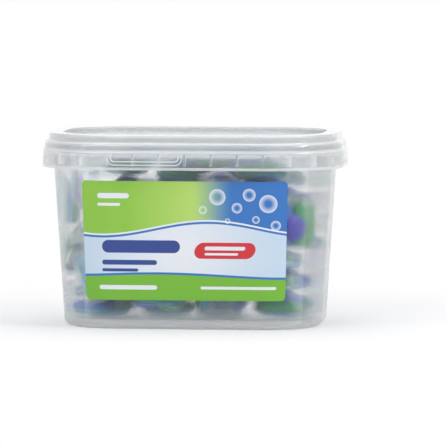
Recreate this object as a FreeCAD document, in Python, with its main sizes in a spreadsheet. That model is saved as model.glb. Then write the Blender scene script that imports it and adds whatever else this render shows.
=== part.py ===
# Laundry pod tub: a moulded tub with a raised floor and a ribbed collar, a press-on
# stacking lid with a tear tab, a film label on the front and sixty three-chamber pods.
# Millimetres, +Z up, the front with the label faces -Y, origin under the middle of the base.
import FreeCAD, Part
import math
import os
import random
import Sketcher

os.makedirs("parts", exist_ok=True)
V = FreeCAD.Vector
doc = FreeCAD.newDocument("pod_tub")

# Driving dimensions
SIZES = (
    ("body_width", 193.8),       # outside of the tub wall at gauge_height, left to right
    ("body_depth", 122.4),       # the same, front to back
    ("body_corner", 46.0),       # corner radius of that outline
    ("gauge_height", 111.0),     # height at which the three sizes above are taken
    ("wall_lean", 7.3),          # how far a wall leans out from the floor up to gauge_height
    ("wall_thick", 1.3),
    ("foot_radius", 5.0),        # outside bend between the wall and the foot
    ("foot_flat", 4.0),          # flat of the foot ring that stands on the table
    ("floor_rise", 5.5),         # underside of the floor above the table
    ("floor_thick", 1.4),
    ("rim_top", 127.0),
    ("ledge_top", 122.8),        # ledge round the mouth that carries the lid
    ("ledge_thick", 1.3),
    ("ledge_reach", 6.4),        # how far the ledge stands out from the gauge outline
    ("apron_thick", 1.2),
    ("apron_foot", 113.0),
    ("gusset_thick", 1.0),
    ("gusset_pitch", 18.0),
    ("gusset_bite", 0.4),        # how deep a gusset runs into the wall and the apron
    ("lid_wall", 1.2),
    ("skirt_foot", 110.5),
    ("skirt_reach", 8.1),        # outside of the skirt's bead beyond the gauge outline
    ("skirt_bead", 0.25),        # how far the bead stands out from the skirt
    ("skirt_draft", 0.15),
    ("bead_height", 1.5),
    ("skirt_top", 121.8),
    ("step_height", 123.8),      # top of the small step above the skirt
    ("step_reach", 6.6),
    ("band_top", 126.0),         # top of the upright band above the step
    ("shoulder_radius", 3.4),
    ("crown_foot", 129.4),       # where the shoulder meets the crown's wall
    ("crown_reach", 3.7),
    ("lid_top", 134.2),
    ("crown_round", 1.0),
    ("recess_reach", 6.3),       # stacking recess, inside the gauge outline
    ("recess_depth", 3.0),
    ("plug_reach", 1.5),         # outside of the sealing plug, inside the gauge outline
    ("plug_thick", 0.9),
    ("plug_foot", 124.0),
    ("tab_left", -53.0),         # tear tab outlined in the front of the skirt
    ("tab_right", -1.6),
    ("tab_foot", 113.9),
    ("tab_top", 121.2),
    ("tab_line", 2.4),           # width of the thinned line round the tab
    ("tab_corner", 5.0),
    ("tab_web", 0.45),           # what is left of the skirt behind that line
    ("label_foot", 20.4),
    ("label_top", 102.7),
    ("label_thick", 0.15),
    ("label_wrap", 25.0),        # degrees that the label turns into the right front corner
    ("label_wrap_left", 28.0),   # the same into the left one
    ("label_corner", 3.0),
    ("flange_length", 39.6),     # pod, flat film edge round the chambers
    ("flange_width", 36.4),
    ("flange_corner", 7.0),
    ("flange_thick", 0.8),
    ("pouch_length", 35.0),      # pod, lower chamber
    ("pouch_width", 31.6),
    ("pouch_corner", 9.0),
    ("pouch_depth", 4.6),
    ("pouch_slope", 3.0),
    ("cell_length", 31.0),       # pod, each of the two upper chambers
    ("cell_width", 16.6),
    ("cell_corner", 6.0),
    ("cell_height", 5.6),
    ("cell_slope", 3.0),
    ("cell_gap", 0.8),           # valley between the two upper chambers
    ("dome_radius", 10.8),       # pod, round chamber in the middle
    ("dome_height", 9.0),
    ("dome_shift", 2.0),         # the dome sits a little towards one end
)

sheet = doc.addObject("Spreadsheet::Sheet", "sizes")
for row, (alias, value) in enumerate(SIZES, start=1):
    sheet.set(f"A{row}", alias)
    sheet.set(f"B{row}", str(value))
    sheet.setAlias(f"B{row}", alias)
doc.recompute()


def size(alias):
    """A driving dimension read from the sheet."""
    return float(getattr(sheet, alias))


def value_of(expression):
    """What an expression on the sheet's cells comes to, as a plain number."""
    result = sheet.evalExpression(expression)
    return float(getattr(result, "Value", result))


# Expressions that several pieces share
HALF_WIDTH = "sizes.body_width / 2"
HALF_DEPTH = "sizes.body_depth / 2"
CORNER = "sizes.body_corner"
BEND_RUN = "sizes.foot_radius * tan(45 deg - atan(sizes.wall_lean / sizes.gauge_height) / 2)"
INNER_BEND = "(sizes.foot_radius - sizes.wall_thick)"


def wall_at(height):
    """Outside of the tub wall, to the right of the middle, at a height."""
    return f"({HALF_WIDTH} - sizes.wall_lean * (1 - ({height}) / sizes.gauge_height))"


def reach(offset):
    """A place that far outside the gauge outline, to the right of the middle."""
    return f"({HALF_WIDTH} + {offset})"


# Sketch helpers
def origin_plane(body, role):
    return next(feature for feature in body.Origin.OriginFeatures if feature.Role == role)


def new_sketch(body, name, role, lift="0"):
    """An empty sketch on one of the body's origin planes, lifted along its normal."""
    sketch = body.newObject("Sketcher::SketchObject", name)
    sketch.AttachmentSupport = [(origin_plane(body, role), "")]
    sketch.MapMode = "FlatFace"
    sketch.setExpression("AttachmentOffset.Base.z", lift)
    return sketch


def arc_between(start, end, radius):
    """Arc from start to end: a positive radius bends to the left, a negative one to the right."""
    middle = (start + end) * 0.5
    chord = end - start
    height = math.sqrt(max(radius * radius - chord.Length ** 2 / 4, 0.0))
    left = V(-chord.y, chord.x, 0).normalize()
    side = 1 if radius > 0 else -1
    centre = middle + left * (height * side)
    angles = [math.atan2(p.y - centre.y, p.x - centre.x) for p in (start, end)]
    if side < 0:
        angles.reverse()
    if angles[1] < angles[0]:
        angles[1] += 2 * math.pi
    return Part.ArcOfCircle(Part.Circle(centre, V(0, 0, 1), abs(radius)), *angles)


def pin_coordinate(sketch, edge, point, axis, expression):
    """Hold one coordinate of a point to an expression on the sheet."""
    place = value_of(expression)
    if abs(place) < 1e-6:
        sketch.addConstraint(Sketcher.Constraint("PointOnObject", edge, point, -2 if axis == "X" else -1))
        return
    ends = (-1, 1, edge, point) if place > 0 else (edge, point, -1, 1)
    index = sketch.addConstraint(Sketcher.Constraint("Distance" + axis, *ends, abs(place)))
    sketch.setExpression(f"Constraints[{index}]", expression if place > 0 else f"-({expression})")


def draw(sketch, corners, closed=True):
    """Lines and arcs through corners of (x, y) or (x, y, radius of the arc to the next corner)."""
    points = [V(value_of(corner[0]), value_of(corner[1]), 0) for corner in corners]
    count = len(points) if closed else len(points) - 1
    first = sketch.GeometryCount
    starts = []
    for i in range(count):
        here, there = points[i], points[(i + 1) % len(points)]
        if len(corners[i]) == 3:
            radius = value_of(corners[i][2])
            edge = sketch.addGeometry(arc_between(here, there, radius), False)
            starts.append(1 if radius > 0 else 2)
            index = sketch.addConstraint(Sketcher.Constraint("Radius", edge, abs(radius)))
            sketch.setExpression(f"Constraints[{index}]", f"abs({corners[i][2]})")
        else:
            sketch.addGeometry(Part.LineSegment(here, there), False)
            starts.append(1)
    for i in range(count):
        pin_coordinate(sketch, first + i, starts[i], "X", corners[i][0])
        pin_coordinate(sketch, first + i, starts[i], "Y", corners[i][1])
        if closed or i < count - 1:
            after = (i + 1) % count
            sketch.addConstraint(Sketcher.Constraint(
                "Coincident", first + i, 3 - starts[i], first + after, starts[after]))
    if not closed:
        pin_coordinate(sketch, first + count - 1, 3 - starts[-1], "X", corners[-1][0])
        pin_coordinate(sketch, first + count - 1, 3 - starts[-1], "Y", corners[-1][1])
    return sketch


def rounded_corners(half_x, half_y, radius):
    """Corners of a rounded rectangle, starting and ending in the middle of its right side."""
    flat_x = f"({half_x} - {radius})"
    flat_y = f"({half_y} - {radius})"
    return [
        (half_x, "0"),
        (half_x, flat_y, radius),
        (flat_x, half_y),
        (f"-{flat_x}", half_y, radius),
        (f"-({half_x})", flat_y),
        (f"-({half_x})", f"-{flat_y}", radius),
        (f"-{flat_x}", f"-({half_y})"),
        (flat_x, f"-({half_y})", radius),
        (half_x, f"-{flat_y}"),
    ]


def swept(body, name, corners, path_corners, closed=True):
    """A section drawn on the XZ plane and carried round a path in the XY plane."""
    section = draw(new_sketch(body, name + "_section", "XZ_Plane"), corners)
    path = draw(new_sketch(body, name + "_path", "XY_Plane"), path_corners, closed)
    doc.recompute()
    pipe = body.newObject("PartDesign::AdditivePipe", name)
    pipe.Profile = section
    pipe.Spine = (path, [])
    doc.recompute()
    return pipe


def pad(body, name, sketch, length, reverse=False):
    feature = body.newObject("PartDesign::Pad", name)
    feature.Profile = sketch
    feature.Reversed = reverse
    feature.setExpression("Length", length)
    doc.recompute()
    return feature


def trim(body, kind, name, base, measure, expression, chosen):
    """Fillet or Chamfer on the edges of the base feature that a test picks."""
    names = [f"Edge{i}" for i, edge in enumerate(base.Shape.Edges, start=1) if chosen(edge)]
    feature = body.newObject("PartDesign::" + kind, name)
    feature.Base = (base, names)
    feature.setExpression(measure, expression)
    doc.recompute()
    return feature


def flat_at(height, low_x=-1e9, high_x=1e9):
    """A test for edges that lie level at a height, between two places along X."""
    def chosen(edge):
        box = edge.BoundBox
        level = abs(box.ZMin - height) < 1e-4 and abs(box.ZMax - height) < 1e-4
        return level and box.XMin > low_x and box.XMax < high_x
    return chosen


GAUGE_PATH = rounded_corners(HALF_WIDTH, HALF_DEPTH, CORNER)


# Tub: leaning walls, a foot ring under a raised floor, and the collar round the mouth
def gussets(body, name, place, turn, patterns):
    """One upright web between the wall and the apron, repeated by the patterns."""
    inner = "sizes.body_corner - sizes.gusset_bite"
    outer = "sizes.body_corner + sizes.ledge_reach - sizes.apron_thick + sizes.gusset_bite"
    half = "sizes.gusset_thick / 2"
    sketch = new_sketch(body, name + "_sketch", "XY_Plane", "sizes.apron_foot")
    sketch.AttachmentOffset = FreeCAD.Placement(V(), FreeCAD.Rotation(V(0, 0, 1), turn))
    sketch.setExpression("AttachmentOffset.Base.z", "sizes.apron_foot")
    sketch.setExpression("AttachmentOffset.Base.x", place[0])
    sketch.setExpression("AttachmentOffset.Base.y", place[1])
    draw(sketch, [(inner, f"-{half}"), (outer, f"-{half}"), (outer, half), (inner, half)])
    doc.recompute()
    web = pad(body, name + "_web", sketch, "sizes.ledge_top - sizes.ledge_thick - sizes.apron_foot")
    repeat = body.newObject("PartDesign::MultiTransform", name)
    repeat.Originals = [web]
    steps = []
    for kind, settings in patterns:
        step = doc.addObject("PartDesign::" + kind, name + "_" + kind)
        for prop, setting in settings(sketch).items():
            setattr(step, prop, setting)
        steps.append(step)
    repeat.Transformations = steps
    body.Tip = repeat
    doc.recompute()
    return repeat


def make_tub():
    body = doc.addObject("PartDesign::Body", "tub")
    step_inside = f"({wall_at('0')} - {BEND_RUN} - sizes.foot_flat)"
    lean_x = "(sizes.wall_lean / sqrt(sizes.wall_lean ^ 2 + sizes.gauge_height ^ 2))"
    lean_z = "(sizes.gauge_height / sqrt(sizes.wall_lean ^ 2 + sizes.gauge_height ^ 2))"
    bend_x = f"({wall_at('0')} + {BEND_RUN} * {lean_x})"
    bend_z = f"({BEND_RUN} * {lean_z})"
    ledge_foot = "(sizes.ledge_top - sizes.ledge_thick)"
    ledge_edge = reach("sizes.ledge_reach")
    apron_inside = reach("sizes.ledge_reach - sizes.apron_thick")
    floor_top = "(sizes.floor_rise + sizes.floor_thick)"
    inner_x = f"({bend_x} - sizes.wall_thick * {lean_z})"
    inner_z = f"({bend_z} + sizes.wall_thick * {lean_x})"
    swept(body, "wall", [
        (step_inside, "0"),
        (f"{wall_at('0')} - {BEND_RUN}", "0", "sizes.foot_radius"),
        (bend_x, bend_z),
        (wall_at(ledge_foot), ledge_foot),
        (apron_inside, ledge_foot),
        (apron_inside, "sizes.apron_foot"),
        (ledge_edge, "sizes.apron_foot"),
        (ledge_edge, "sizes.ledge_top"),
        (wall_at("sizes.ledge_top"), "sizes.ledge_top"),
        (wall_at("sizes.rim_top"), "sizes.rim_top"),
        (f"{wall_at('sizes.rim_top')} - sizes.wall_thick", "sizes.rim_top"),
        (inner_x, inner_z, f"-{INNER_BEND}"),
        (f"{wall_at('0')} - {BEND_RUN}", "sizes.wall_thick"),
        (f"{step_inside} + sizes.wall_thick", "sizes.wall_thick"),
        (f"{step_inside} + sizes.wall_thick", floor_top),
        (step_inside, floor_top),
    ], GAUGE_PATH)

    inset = f"({HALF_WIDTH} - {step_inside} - sizes.wall_thick / 2)"
    floor_sketch = draw(new_sketch(body, "floor_sketch", "XY_Plane", "sizes.floor_rise"), rounded_corners(
        f"({HALF_WIDTH} - {inset})", f"({HALF_DEPTH} - {inset})", f"({CORNER} - {inset})"))
    doc.recompute()
    pad(body, "floor", floor_sketch, "sizes.floor_thick")

    across = f"({HALF_WIDTH} - {CORNER})"
    along = f"({HALF_DEPTH} - {CORNER})"
    pitch = size("gusset_pitch")
    radius = size("body_corner") + size("ledge_reach")
    lead = 2.5 * pitch + pitch / 2 - value_of(across)
    turn_step = (90 - math.degrees(lead / radius)) / 4
    mirror_front = ("Mirrored", lambda sketch: {"MirrorPlane": (origin_plane(body, "XZ_Plane"), [""])})
    mirror_side = ("Mirrored", lambda sketch: {"MirrorPlane": (origin_plane(body, "YZ_Plane"), [""])})
    row = ("LinearPattern", lambda sketch: {
        "Direction": (sketch, ["V_Axis"]), "Length": 4 * pitch, "Occurrences": 5})
    side_row = ("LinearPattern", lambda sketch: {
        "Direction": (sketch, ["V_Axis"]), "Length": 2 * value_of(along), "Occurrences": 3})
    fan = ("PolarPattern", lambda sketch: {
        "Axis": (sketch, ["N_Axis"]), "Angle": 3 * turn_step, "Occurrences": 4})
    gussets(body, "front_gussets", ("-2 * sizes.gusset_pitch", f"-{along}"), -90, [row, mirror_front])
    gussets(body, "side_gussets", (across, f"-{along}"), 0, [side_row, mirror_side])
    gussets(body, "corner_gussets", (across, f"-{along}"), -90 + math.degrees(lead / radius),
            [fan, mirror_front, mirror_side])
    return body


# Lid: skirt with a tear tab, stepped shoulder, raised crown and a recess for stacking
def make_lid():
    body = doc.addObject("PartDesign::Body", "lid")
    skirt = "sizes.skirt_reach - sizes.skirt_bead"
    skirt_upper = f"{skirt} - sizes.skirt_draft"
    skirt_inner = f"{skirt_upper} - sizes.lid_wall"
    band_inner = "sizes.step_reach - sizes.lid_wall"
    crown_inner = "sizes.crown_reach - sizes.lid_wall"
    deck = "(sizes.lid_top - sizes.lid_wall)"
    recess = "-sizes.recess_reach"
    panel_top = "(sizes.lid_top - sizes.recess_depth)"
    panel_foot = f"({panel_top} - sizes.lid_wall)"
    plug_outer = "-sizes.plug_reach"
    plug_inner = "-sizes.plug_reach - sizes.plug_thick"
    swept(body, "shell", [
        (reach(skirt_inner), "sizes.skirt_foot"),
        (reach("sizes.skirt_reach"), "sizes.skirt_foot"),
        (reach("sizes.skirt_reach"), "sizes.skirt_foot + sizes.bead_height"),
        (reach(skirt), "sizes.skirt_foot + sizes.bead_height + sizes.skirt_bead"),
        (reach(skirt_upper), "sizes.skirt_top", "1.6 * (sizes.step_height - sizes.skirt_top)"),
        (reach("sizes.step_reach"), "sizes.step_height"),
        (reach("sizes.step_reach"), "sizes.band_top", "sizes.shoulder_radius"),
        (reach("sizes.crown_reach"), "sizes.crown_foot"),
        (reach("sizes.crown_reach"), "sizes.lid_top - sizes.crown_round", "sizes.crown_round"),
        (reach("sizes.crown_reach - sizes.crown_round"), "sizes.lid_top"),
        (reach(recess), "sizes.lid_top"),
        (reach(recess), panel_foot),
        (reach(f"{recess} + sizes.lid_wall"), panel_foot),
        (reach(f"{recess} + sizes.lid_wall"), deck),
        (reach(plug_inner), deck),
        (reach(plug_inner), "sizes.plug_foot"),
        (reach(plug_outer), "sizes.plug_foot"),
        (reach(plug_outer), deck),
        (reach(crown_inner), deck),
        (reach(crown_inner), "sizes.crown_foot", "-sizes.shoulder_radius"),
        (reach(band_inner), "sizes.band_top"),
        (reach(band_inner), "sizes.step_height - sizes.wall_thick / 2"),
        (reach(skirt_inner), "sizes.step_height - sizes.wall_thick / 2"),
    ], GAUGE_PATH)

    inset = "(sizes.recess_reach - sizes.lid_wall / 2)"
    panel_sketch = draw(new_sketch(body, "panel_sketch", "XY_Plane", panel_foot), rounded_corners(
        f"({HALF_WIDTH} - {inset})", f"({HALF_DEPTH} - {inset})", f"({CORNER} - {inset})"))
    doc.recompute()
    pad(body, "panel", panel_sketch, "sizes.lid_wall")

    front = f"({HALF_DEPTH} + sizes.skirt_reach)"
    line, bend = "sizes.tab_line", "sizes.tab_corner"
    left, right, foot, top = "sizes.tab_left", "sizes.tab_right", "sizes.tab_foot", "sizes.tab_top"
    tab_sketch = draw(new_sketch(body, "tab_sketch", "XZ_Plane", f"{front} + 1"), [
        (left, top),
        (left, f"{foot} + {bend}", bend),
        (f"{left} + {bend}", foot),
        (f"{right} - {bend}", foot, bend),
        (right, f"{foot} + {bend}"),
        (right, top),
        (f"{right} - {line}", top),
        (f"{right} - {line}", f"{foot} + {bend}", f"-({bend} - {line})"),
        (f"{right} - {bend}", f"{foot} + {line}"),
        (f"{left} + {bend}", f"{foot} + {line}", f"-({bend} - {line})"),
        (f"{left} + {line}", f"{foot} + {bend}"),
        (f"{left} + {line}", top),
    ])
    doc.recompute()
    before = body.Shape.Volume
    tab = body.newObject("PartDesign::Pocket", "tear_line")
    tab.Profile = tab_sketch
    tab.setExpression("Length", f"1 + sizes.skirt_reach - ({skirt_inner}) - sizes.tab_web")
    doc.recompute()
    print("tear line takes", round(before - body.Shape.Volume, 1), "mm3 from the skirt")
    return body


# Label: a thin film that follows the front wall and turns a little into its corners
def make_label():
    body = doc.addObject("PartDesign::Body", "front_label")
    flat_x = f"({HALF_WIDTH} - {CORNER})"
    flat_y = f"({HALF_DEPTH} - {CORNER})"
    turns = {-1: "sizes.label_wrap_left * 1 deg", 1: "sizes.label_wrap * 1 deg"}
    path_y = f"({flat_y} + {CORNER})"
    ends = {side: (f"{side} * ({flat_x} + {CORNER} * sin({turn}))", f"-({flat_y} + {CORNER} * cos({turn}))")
            for side, turn in turns.items()}
    path = draw(new_sketch(body, "film_path", "XY_Plane"), [
        (*ends[-1], CORNER),
        (f"-{flat_x}", f"-{path_y}"),
        ("0", f"-{path_y}"),
        (flat_x, f"-{path_y}", CORNER),
        ends[1],
    ], closed=False)
    foot, top = "sizes.label_foot", "sizes.label_top"
    to_front = f"{HALF_DEPTH} - {HALF_WIDTH}"
    section = draw(new_sketch(body, "film_section", "YZ_Plane"), [
        (f"-({wall_at(foot)} + {to_front})", foot),
        (f"-({wall_at(top)} + {to_front})", top),
        (f"-({wall_at(top)} + {to_front} + sizes.label_thick)", top),
        (f"-({wall_at(foot)} + {to_front} + sizes.label_thick)", foot),
    ])
    doc.recompute()
    film = body.newObject("PartDesign::AdditivePipe", "film")
    film.Profile = section
    film.Spine = (path, [])
    doc.recompute()

    bend = "sizes.label_corner"
    corners_sketch = new_sketch(body, "film_corners_sketch", "XZ_Plane")
    for side, turn in turns.items():
        for height, up in ((top, 1), (foot, -1)):
            lean = f"sizes.wall_lean * (1 - {height} / sizes.gauge_height)"
            outline = f"({CORNER} - {lean} + sizes.label_thick)"
            end = f"({flat_x} + {outline} * sin({turn}))"
            arc = f"{'' if side * up > 0 else '-'}{bend}"
            draw(corners_sketch, [
                (f"{side} * {end}", f"{height} - {up} * {bend}", arc),
                (f"{side} * ({end} - {bend})", height),
                (f"{side} * ({end} - {bend})", f"{height} + {up} * 1"),
                (f"{side} * ({end} + 1)", f"{height} + {up} * 1"),
                (f"{side} * ({end} + 1)", f"{height} - {up} * {bend}"),
            ])
    doc.recompute()
    before = body.Shape.Volume
    corners = body.newObject("PartDesign::Pocket", "film_corners")
    corners.Profile = corners_sketch
    corners.Type = "ThroughAll"
    corners.Reversed = True
    doc.recompute()
    print("rounded corners take", round(before - body.Shape.Volume, 2), "mm3 from the label")
    return body


# Pod: a film flange with a lower pouch, two upper chambers and a round dome between them
DOME_BENDS = (0, 28, 55, 75)    # degrees at which the dome's profile is bent


def make_pod(name):
    body = doc.addObject("PartDesign::Body", name)
    flange_sketch = new_sketch(body, "flange_sketch", "XY_Plane", "-sizes.flange_thick / 2")
    draw(flange_sketch, rounded_corners(
        "(sizes.flange_length / 2)", "(sizes.flange_width / 2)", "sizes.flange_corner"))
    doc.recompute()
    pad(body, "flange", flange_sketch, "sizes.flange_thick")

    pouch_sketch = draw(new_sketch(body, "pouch_sketch", "XY_Plane"), rounded_corners(
        "(sizes.pouch_length / 2)", "(sizes.pouch_width / 2)", "sizes.pouch_corner"))
    doc.recompute()
    pouch = pad(body, "pouch", pouch_sketch, "sizes.pouch_depth", reverse=True)
    trim(body, "Chamfer", "pouch_bulge", pouch, "Size", "sizes.pouch_slope", flat_at(-size("pouch_depth")))

    half_x, half_y, bend = "sizes.cell_width / 2", "sizes.cell_length / 2", "sizes.cell_corner"
    shift = "(sizes.cell_width / 2 + sizes.cell_gap / 2)"
    for side, sign in (("left", "-"), ("right", "")):
        cell_sketch = new_sketch(body, side + "_cell_sketch", "XY_Plane")
        cell_sketch.setExpression("AttachmentOffset.Base.x", f"{sign}{shift}")
        draw(cell_sketch, rounded_corners(f"({half_x})", f"({half_y})", bend))
        doc.recompute()
        cell = pad(body, side + "_cell", cell_sketch, "sizes.cell_height")
        low_x, high_x = (-1e9, 0.0) if side == "left" else (0.0, 1e9)
        trim(body, "Chamfer", side + "_cell_bulge", cell, "Size", "sizes.cell_slope",
             flat_at(size("cell_height"), low_x, high_x))

    dome_sketch = new_sketch(body, "dome_sketch", "XZ_Plane")
    dome_sketch.setExpression("AttachmentOffset.Base.z", "sizes.dome_shift")
    bands = [(f"sizes.dome_radius * cos({bend} deg)",
              f"sizes.dome_height * sin({bend} deg) / sin({DOME_BENDS[-1]} deg)") for bend in DOME_BENDS]
    draw(dome_sketch, [("0", "0")] + bands + [("0", "sizes.dome_height")])
    doc.recompute()
    dome = body.newObject("PartDesign::Revolution", "dome")
    dome.Profile = dome_sketch
    dome.ReferenceAxis = (dome_sketch, ["V_Axis"])
    dome.Angle = 360
    doc.recompute()
    return body


# Filling: the pods drop one after another, each to where it comes to rest lowest
CELL = 3.0               # side of a square of the height map
SKIN_STEP = 1.2          # spacing of the points that stand for a pod's skin
SKIN_MARGIN = 0.6        # how far outside the flange such a point may lie
CLEARANCE = 0.35         # kept between a pod and all that lies below it
WALL_GAP = 0.4
POD_COUNT = 60
SINGLE_PODS = 56         # the last few share a node
SEED = 1
TRIES = 7                # turns of a pod that are tried before the best is kept
ROOF = 121.8             # no pod reaches higher
UPRIGHT_EVERY = 6        # one pod in so many stands with its face near a wall's direction
LEAN_SPREAD = 11.0       # degrees that a lying pod usually leans
GAP_WEIGHT = 0.7         # how much the empty space under a pod counts against a place
RIM_LEVEL = 4.0          # height of the levels at which a pod's reach is taken
RIM_WAYS = 16            # directions in which it is taken
FACE_TURN = 37.0         # degrees from the front to the right that the pod by the label faces
FACE_HEIGHT = 72.5       # middle of that pod above the table, where its neighbours hold it
FACE_ROOM = 7.0          # what may be left under it when it goes in


def inside_by(x, y, half_x, half_y, radius):
    """How far a point lies inside a rounded rectangle, negative when outside."""
    over_x = abs(x) - (half_x - radius)
    over_y = abs(y) - (half_y - radius)
    if over_x > 0 and over_y > 0:
        return radius - math.hypot(over_x, over_y)
    return radius - max(over_x, over_y)


def sloped(depth, slope, inside):
    """Height of a chamber with a chamfered edge, at a point that far inside its outline."""
    return depth - slope + min(inside, slope)


def pod_skin():
    """Points over the pod's upper and lower skin, in its own frame."""
    flange = (size("flange_length") / 2, size("flange_width") / 2, size("flange_corner"))
    pouch = (size("pouch_length") / 2, size("pouch_width") / 2, size("pouch_corner"))
    cell = (size("cell_width") / 2, size("cell_length") / 2, size("cell_corner"))
    shift = (size("cell_width") + size("cell_gap")) / 2
    crown = size("dome_height") / math.sin(math.radians(DOME_BENDS[-1]))
    points = []
    steps_x = int(flange[0] / SKIN_STEP) + 1
    steps_y = int(flange[1] / SKIN_STEP) + 1
    for i in range(-steps_x, steps_x + 1):
        for j in range(-steps_y, steps_y + 1):
            x = max(-flange[0], min(flange[0], i * SKIN_STEP))
            y = max(-flange[1], min(flange[1], j * SKIN_STEP))
            if inside_by(x, y, *flange) < -SKIN_MARGIN:
                continue
            high = size("flange_thick") / 2
            low = -high
            inside = inside_by(x, y, *pouch)
            if inside >= 0:
                low = -sloped(size("pouch_depth"), size("pouch_slope"), inside)
            inside = inside_by(abs(x) - shift, y, *cell)
            if inside >= 0:
                high = sloped(size("cell_height"), size("cell_slope"), inside)
            off_centre = math.hypot(x, y + size("dome_shift")) / size("dome_radius")
            if off_centre < 1:
                high = max(high, min(size("dome_height"), crown * math.sqrt(1 - off_centre ** 2)))
            points.append(V(x, y, high))
            points.append(V(x, y, low))
    return points


def footprint(skin, turn, place=V(0, 0, 0)):
    """Lowest and highest skin over each square of the height map."""
    squares = {}
    for point in skin:
        x, y, z = turn.multVec(point) + place
        key = (math.floor(x / CELL + 0.5), math.floor(y / CELL + 0.5))
        low, high = squares.get(key, (z, z))
        squares[key] = (min(low, z), max(high, z))
    return squares


def outermost(skin, turn):
    """The turned points that can meet a wall: those farthest out in each direction and level."""
    chosen = {}
    for point in (turn.multVec(point) for point in skin):
        level = math.floor(point.z / RIM_LEVEL)
        for k in range(RIM_WAYS):
            angle = k * 2 * math.pi / RIM_WAYS
            out = point.x * math.cos(angle) + point.y * math.sin(angle)
            if out > chosen.get((level, k), (-1e9, None))[0]:
                chosen[(level, k)] = (out, point)
    return {id(point): point for out, point in chosen.values()}.values()


def wall_inward(z):
    """How far the tub's inner wall stands inside the gauge outline, with the gap to a pod."""
    return size("wall_lean") * (1 - z / size("gauge_height")) + size("wall_thick") + WALL_GAP


def wall_room(x, y, z):
    """How far a point is inside the tub's inner wall at its height."""
    inward = wall_inward(z)
    return inside_by(x, y, size("body_width") / 2 - inward, size("body_depth") / 2 - inward,
                     size("body_corner") - inward)


def turned(axis, degrees):
    return FreeCAD.Rotation(axis, degrees)


def chosen_turns(draw_lots, index):
    """Turns to try for one pod: lying and leaning a little, or upright along a wall."""
    across, upward = V(1, 0, 0), V(0, 0, 1)
    turns = []
    for attempt in range(TRIES):
        yaw = draw_lots.uniform(0, 360)
        flip = 180 * draw_lots.randint(0, 1)
        if index % UPRIGHT_EVERY == UPRIGHT_EVERY - 2:
            tilt = draw_lots.uniform(74, 90)
            wall = draw_lots.choice((0, 90, 180, 270)) + draw_lots.uniform(-12, 12)
            spin = draw_lots.choice((0, 90)) + draw_lots.uniform(-25, 25)
            turns.append(turned(upward, wall) * turned(across, tilt + flip) * turned(upward, spin))
            continue
        tilt = abs(draw_lots.gauss(0, LEAN_SPREAD))
        lean = math.radians(draw_lots.uniform(0, 360))
        axis = V(math.cos(lean), math.sin(lean), 0)
        turns.append(turned(axis, tilt) * turned(across, flip) * turned(upward, yaw))
    return turns


def facing_pod():
    """Turn of the pod beside the label, its dome to the leaning wall, and its middle on the plan."""
    lean = math.degrees(math.atan(size("wall_lean") / size("gauge_height")))
    turn = turned(V(0, 0, 1), FACE_TURN) * turned(V(1, 0, 0), 90 + lean)
    radius = size("body_corner") - wall_inward(FACE_HEIGHT) - size("dome_height")
    angle = math.radians(FACE_TURN)
    x = size("body_width") / 2 - size("body_corner") + radius * math.sin(angle)
    y = -(size("body_depth") / 2 - size("body_corner") + radius * math.cos(angle))
    return turn, V(x, y, 0)


class Pile:
    """Height map of all that has come to rest in the tub."""

    def __init__(self):
        self.reach_x = int(size("body_width") / 2 / CELL) + 2
        self.reach_y = int(size("body_depth") / 2 / CELL) + 2
        floor_top = size("floor_rise") + size("floor_thick") + CLEARANCE
        self.tops = [[floor_top] * (2 * self.reach_y + 1) for _ in range(2 * self.reach_x + 1)]

    def lift(self, lows, ci, cj, limit=1e9):
        """How high a pod comes to rest there, given up once it is past the limit."""
        lift = 0.0
        for i, j, low in lows:
            need = self.tops[i + ci][j + cj] - low
            if need > lift:
                lift = need
                if lift > limit:
                    break
        return lift

    def cover(self, squares, ci, cj, lift):
        """Raises the map to the top of a pod that lies there."""
        for (i, j), (low, high) in squares.items():
            column = self.tops[i + ci + self.reach_x]
            row = j + cj + self.reach_y
            column[row] = max(column[row], lift + high + CLEARANCE)

    def lows(self, squares):
        return [(i + self.reach_x, j + self.reach_y, low) for (i, j), (low, high) in squares.items()]

    def best_place(self, skin, turns):
        """The turn and square where a pod lies lowest with the least empty space under it."""
        best = None
        for turn in turns:
            squares = footprint(skin, turn)
            lows = self.lows(squares)
            top = max(high for low, high in squares.values())
            rim = outermost(skin, turn)
            far_i = self.reach_x - max(abs(i) for i, j in squares) - 2
            far_j = self.reach_y - max(abs(j) for i, j in squares) - 2
            for ci in range(-far_i, far_i + 1):
                for cj in range(-far_j, far_j + 1):
                    if (ci + cj) % 2:
                        continue
                    limit = best[0] if best else 1e9
                    lift = self.lift(lows, ci, cj, limit)
                    if lift > limit or lift + top > ROOF:
                        continue
                    x, y = ci * CELL, cj * CELL
                    if min(wall_room(x + p.x, y + p.y, lift + p.z) for p in rim) < 0:
                        continue
                    gap = sum(lift + low - self.tops[i + ci][j + cj] for i, j, low in lows) / len(lows)
                    score = lift + GAP_WEIGHT * gap
                    if best is None or score < best[0]:
                        best = (score, lift, ci, cj, turn, squares)
        return best


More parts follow.
